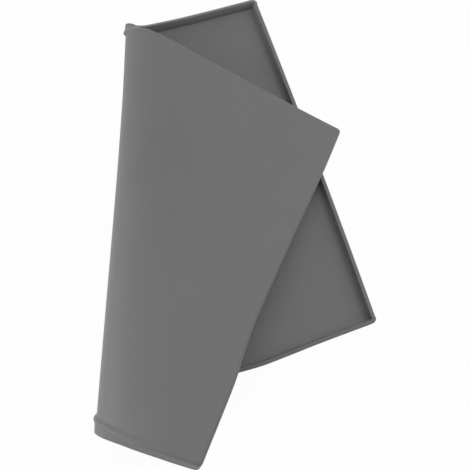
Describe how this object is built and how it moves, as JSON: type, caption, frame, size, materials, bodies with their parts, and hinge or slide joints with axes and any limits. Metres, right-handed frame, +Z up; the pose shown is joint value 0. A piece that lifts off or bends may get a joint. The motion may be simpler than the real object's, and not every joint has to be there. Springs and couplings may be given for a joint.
{
  "type": "griddle mat",
  "caption": "Rectangular silicone sheet with a low raised rim all round, folded over once on itself along a conical fold; it opens out flat.",
  "frame": {"origin": "centre of the back panel's flat underside, on the surface that the mat lies on", "axes": "+X from the fold towards the back panel's far side, +Y towards the far edge where the fold is tightest, +Z up from the underside"},
  "size_m": [0.3307, 0.4781, 0.0929],
  "materials": {
    "silicone": "satin matt moulded silicone, mid grey"
  },
  "bodies": {
    "back_panel": {"back_panel": "silicone"},
    "fold_strip_01": {"fold_strip_01": "silicone"},
    "fold_strip_02": {"fold_strip_02": "silicone"},
    "fold_strip_03": {"fold_strip_03": "silicone"},
    "fold_strip_04": {"fold_strip_04": "silicone"},
    "fold_strip_05": {"fold_strip_05": "silicone"},
    "fold_strip_06": {"fold_strip_06": "silicone"},
    "fold_strip_07": {"fold_strip_07": "silicone"},
    "fold_strip_08": {"fold_strip_08": "silicone"},
    "fold_strip_09": {"fold_strip_09": "silicone"},
    "fold_strip_10": {"fold_strip_10": "silicone"},
    "fold_strip_11": {"fold_strip_11": "silicone"},
    "fold_strip_12": {"fold_strip_12": "silicone"},
    "fold_strip_13": {"fold_strip_13": "silicone"},
    "fold_strip_14": {"fold_strip_14": "silicone"},
    "fold_strip_15": {"fold_strip_15": "silicone"},
    "fold_strip_16": {"fold_strip_16": "silicone"},
    "front_flap": {"front_flap": "silicone"}
  },
  "joints": [
    {"name": "fold_01", "type": "hinge", "parent": "back_panel", "child": "fold_strip_01", "pos_m": [-0.08501, 0, 0], "axis": [-0.2593, -0.9658, 0], "range_deg": [0, 11.09], "stiffness_Nm_per_rad": 1, "springref_deg": 11.09},
    {"name": "fold_02", "type": "hinge", "parent": "fold_strip_01", "child": "fold_strip_02", "pos_m": [-0.09994, -0.00007, 0.00282], "axis": [-0.2844, -0.9587, 0.0051], "range_deg": [0, 11.09], "stiffness_Nm_per_rad": 1, "springref_deg": 11.09},
    {"name": "fold_03", "type": "hinge", "parent": "fold_strip_02", "child": "fold_strip_03", "pos_m": [-0.10917, -0.00026, 0.00642], "axis": [-0.2995, -0.954, 0.0116], "range_deg": [0, 11.09], "stiffness_Nm_per_rad": 1, "springref_deg": 11.09},
    {"name": "fold_04", "type": "hinge", "parent": "fold_strip_03", "child": "fold_strip_04", "pos_m": [-0.11597, -0.0006, 0.01064], "axis": [-0.3104, -0.9504, 0.0191], "range_deg": [0, 11.09], "stiffness_Nm_per_rad": 1, "springref_deg": 11.09},
    {"name": "fold_05", "type": "hinge", "parent": "fold_strip_04", "child": "fold_strip_05", "pos_m": [-0.12116, -0.00113, 0.01533], "axis": [-0.3184, -0.9475, 0.0274], "range_deg": [0, 11.09], "stiffness_Nm_per_rad": 1, "springref_deg": 11.09},
    {"name": "fold_06", "type": "hinge", "parent": "fold_strip_05", "child": "fold_strip_06", "pos_m": [-0.12506, -0.00189, 0.0204], "axis": [-0.3242, -0.9453, 0.0363], "range_deg": [0, 11.09], "stiffness_Nm_per_rad": 1, "springref_deg": 11.09},
    {"name": "fold_07", "type": "hinge", "parent": "fold_strip_06", "child": "fold_strip_07", "pos_m": [-0.12782, -0.00289, 0.02571], "axis": [-0.3279, -0.9436, 0.0456], "range_deg": [0, 11.09], "stiffness_Nm_per_rad": 1, "springref_deg": 11.09},
    {"name": "fold_08", "type": "hinge", "parent": "fold_strip_07", "child": "fold_strip_08", "pos_m": [-0.12952, -0.00418, 0.03116], "axis": [-0.3297, -0.9425, 0.0551], "range_deg": [0, 11.09], "stiffness_Nm_per_rad": 1, "springref_deg": 11.09},
    {"name": "fold_09", "type": "hinge", "parent": "fold_strip_08", "child": "fold_strip_09", "pos_m": [-0.13021, -0.00578, 0.03663], "axis": [-0.3297, -0.9419, 0.0645], "range_deg": [0, 11.09], "stiffness_Nm_per_rad": 1, "springref_deg": 11.09},
    {"name": "fold_10", "type": "hinge", "parent": "fold_strip_09", "child": "fold_strip_10", "pos_m": [-0.12993, -0.00771, 0.04201], "axis": [-0.328, -0.9418, 0.0737], "range_deg": [0, 11.09], "stiffness_Nm_per_rad": 1, "springref_deg": 11.09},
    {"name": "fold_11", "type": "hinge", "parent": "fold_strip_10", "child": "fold_strip_11", "pos_m": [-0.12871, -0.01002, 0.04718], "axis": [-0.3246, -0.9422, 0.0825], "range_deg": [0, 11.09], "stiffness_Nm_per_rad": 1, "springref_deg": 11.09},
    {"name": "fold_12", "type": "hinge", "parent": "fold_strip_11", "child": "fold_strip_12", "pos_m": [-0.12655, -0.01276, 0.05207], "axis": [-0.3196, -0.9432, 0.0906], "range_deg": [0, 11.09], "stiffness_Nm_per_rad": 1, "springref_deg": 11.09},
    {"name": "fold_13", "type": "hinge", "parent": "fold_strip_12", "child": "fold_strip_13", "pos_m": [-0.12343, -0.01602, 0.05656], "axis": [-0.3128, -0.9448, 0.098], "range_deg": [0, 11.09], "stiffness_Nm_per_rad": 1, "springref_deg": 11.09},
    {"name": "fold_14", "type": "hinge", "parent": "fold_strip_13", "child": "fold_strip_14", "pos_m": [-0.11925, -0.01994, 0.06056], "axis": [-0.304, -0.9469, 0.1045], "range_deg": [0, 11.09], "stiffness_Nm_per_rad": 1, "springref_deg": 11.09},
    {"name": "fold_15", "type": "hinge", "parent": "fold_strip_14", "child": "fold_strip_15", "pos_m": [-0.11381, -0.02478, 0.06395], "axis": [-0.293, -0.9498, 0.1097], "range_deg": [0, 11.09], "stiffness_Nm_per_rad": 1, "springref_deg": 11.09},
    {"name": "fold_16", "type": "hinge", "parent": "fold_strip_15", "child": "fold_strip_16", "pos_m": [-0.10651, -0.03119, 0.06654], "axis": [-0.2784, -0.9538, 0.1133], "range_deg": [0, 11.09], "stiffness_Nm_per_rad": 1, "springref_deg": 11.09},
    {"name": "fold_17", "type": "hinge", "parent": "fold_strip_16", "child": "front_flap", "pos_m": [-0.09476, -0.04164, 0.06789], "axis": [-0.2553, -0.9601, 0.1142], "range_deg": [0, 11.09], "stiffness_Nm_per_rad": 1, "springref_deg": 11.09}
  ]
}
